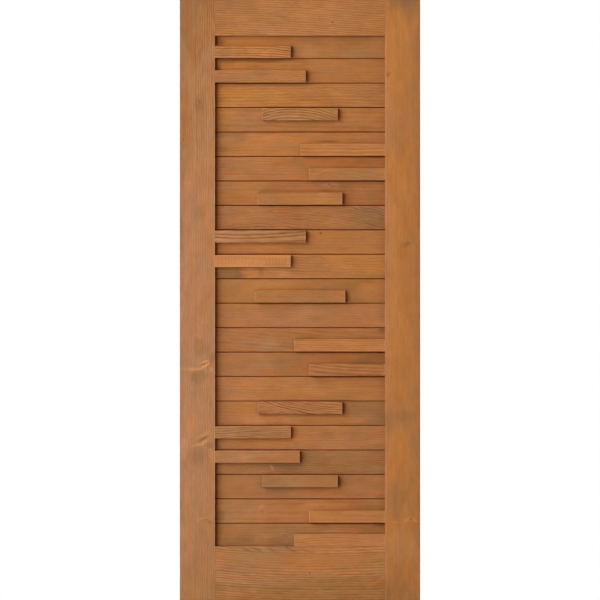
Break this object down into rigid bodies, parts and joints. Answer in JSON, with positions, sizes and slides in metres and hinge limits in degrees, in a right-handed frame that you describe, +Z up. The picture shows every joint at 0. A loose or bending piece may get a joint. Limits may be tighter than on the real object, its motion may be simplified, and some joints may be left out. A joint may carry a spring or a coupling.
{
  "type": "solid wood door",
  "caption": "Framed door of stained solid softwood: a recessed panel of horizontal boards with short raised bars staggered across its front. It closes a doorway, hung by one long edge.",
  "frame": {"origin": "middle of the hinge edge: the outer edge of the left stile, at half the door's height and half its thickness", "axes": "+X across the width, from the hinge edge to the latch edge; -Y out of the front, the face with the raised bars; +Z up"},
  "size_m": [0.8, 0.035, 2],
  "materials": {
    "stile": "stained softwood, satin clear coat",
    "rail": "stained softwood, satin clear coat",
    "board": "stained softwood, satin clear coat",
    "bar": "stained softwood, satin clear coat"
  },
  "bodies": {
    "root": {"stile_left": "stile", "stile_right": "stile", "rail_top": "rail", "rail_bottom": "rail", "board_01": "board", "board_02": "board", "board_03": "board", "board_04": "board", "board_05": "board", "board_06": "board", "board_07": "board", "board_08": "board", "board_09": "board", "board_10": "board", "board_11": "board", "board_12": "board", "board_13": "board", "board_14": "board", "board_15": "board", "board_16": "board", "board_17": "board", "board_18": "board", "board_19": "board", "board_20": "board", "board_21": "board", "bar_01": "bar", "bar_02": "bar", "bar_03": "bar", "bar_04": "bar", "bar_05": "bar", "bar_06": "bar", "bar_07": "bar", "bar_08": "bar", "bar_09": "bar", "bar_10": "bar", "bar_11": "bar", "bar_12": "bar", "bar_13": "bar", "bar_14": "bar", "bar_15": "bar", "bar_16": "bar", "bar_17": "bar"}
  },
  "joints": []
}
